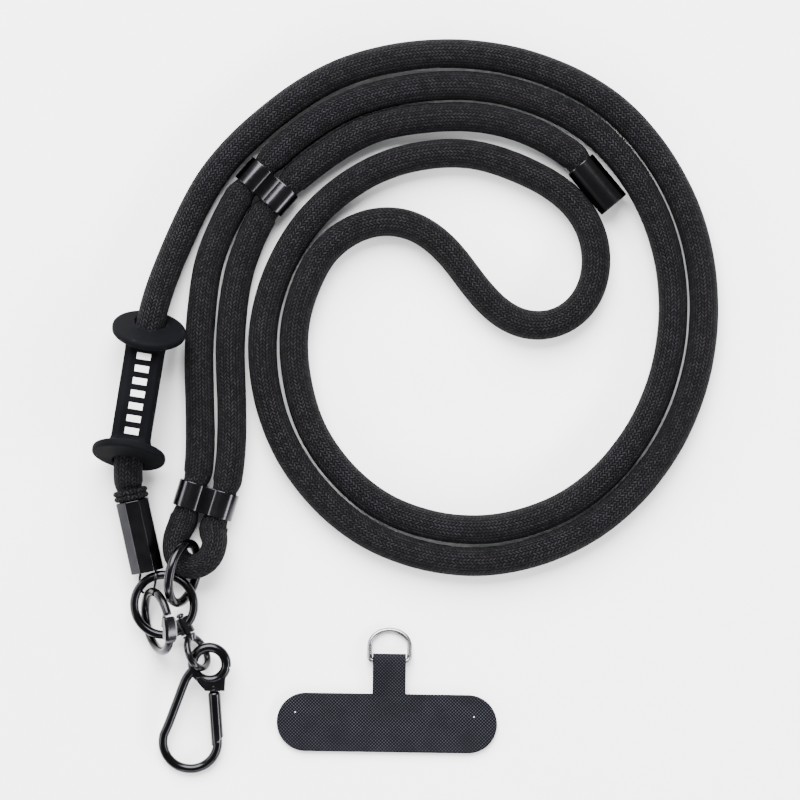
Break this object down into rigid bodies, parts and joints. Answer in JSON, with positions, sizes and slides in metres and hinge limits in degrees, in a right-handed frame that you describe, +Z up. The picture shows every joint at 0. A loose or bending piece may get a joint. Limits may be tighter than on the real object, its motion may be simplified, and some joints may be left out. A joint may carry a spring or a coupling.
{
  "type": "phone crossbody strap",
  "caption": "Round braided cord laid in nested loops with metal sliders, a rubber tag, a ring chain with a snap and a carabiner, and a woven phone tab with a D-ring.",
  "frame": {"origin": "middle of the outline of the strap as laid, on the surface it lies on", "axes": "+Z up from the surface, +Y from the hooks towards the top of the loops"},
  "size_m": [0.187, 0.2194, 0.0214],
  "materials": {
    "braid": "matt black round polyester braid",
    "black_nickel": "polished black nickel",
    "gunmetal": "polished gunmetal nickel",
    "silicone": "matt blue-black silicone",
    "weave": "fine twill weave, near black"
  },
  "bodies": {
    "strap": {"rope": "braid", "rope_end_folds": "braid", "end_cap": "black_nickel", "cap_bail": "black_nickel", "rubber_tag": "silicone", "upper_slider": "black_nickel", "lower_slider": "black_nickel", "tail_cap": "black_nickel", "main_ring": "black_nickel", "link_ring": "black_nickel", "snap_body": "black_nickel", "phone_tab": "weave"},
    "snap_gate": {"snap_gate": "black_nickel"},
    "hook": {"swivel": "black_nickel", "carabiner_body": "black_nickel"},
    "hook_gate": {"carabiner_gate": "black_nickel"},
    "tab_ring": {"tab_d_ring": "gunmetal"}
  },
  "joints": [
    {"name": "snap_gate_opens", "type": "hinge", "parent": "strap", "child": "snap_gate", "pos_m": [-0.07066, -0.06136, 0.01743], "axis": [-0.8911, -0.1652, 0.4226], "range_deg": [0, 18], "stiffness_Nm_per_rad": 0.02, "springref_deg": -17.19},
    {"name": "swivel_turns", "type": "hinge", "parent": "strap", "child": "hook", "pos_m": [-0.06608, -0.06533, 0.0058], "axis": [-0.4226, 0.9063, 0], "range_deg": [-120, 180]},
    {"name": "carabiner_gate_opens", "type": "hinge", "parent": "hook", "child": "hook_gate", "pos_m": [-0.05738, -0.08372, 0.00485], "axis": [0, 0.1392, -0.9903], "range_deg": [0, 22], "stiffness_Nm_per_rad": 0.03, "springref_deg": -17.19},
    {"name": "tab_ring_swings", "type": "hinge", "parent": "strap", "child": "tab_ring", "pos_m": [-0.00484, -0.07599, 0.00213], "axis": [0.9999, -0.0152, 0], "range_deg": [0, 150]}
  ]
}
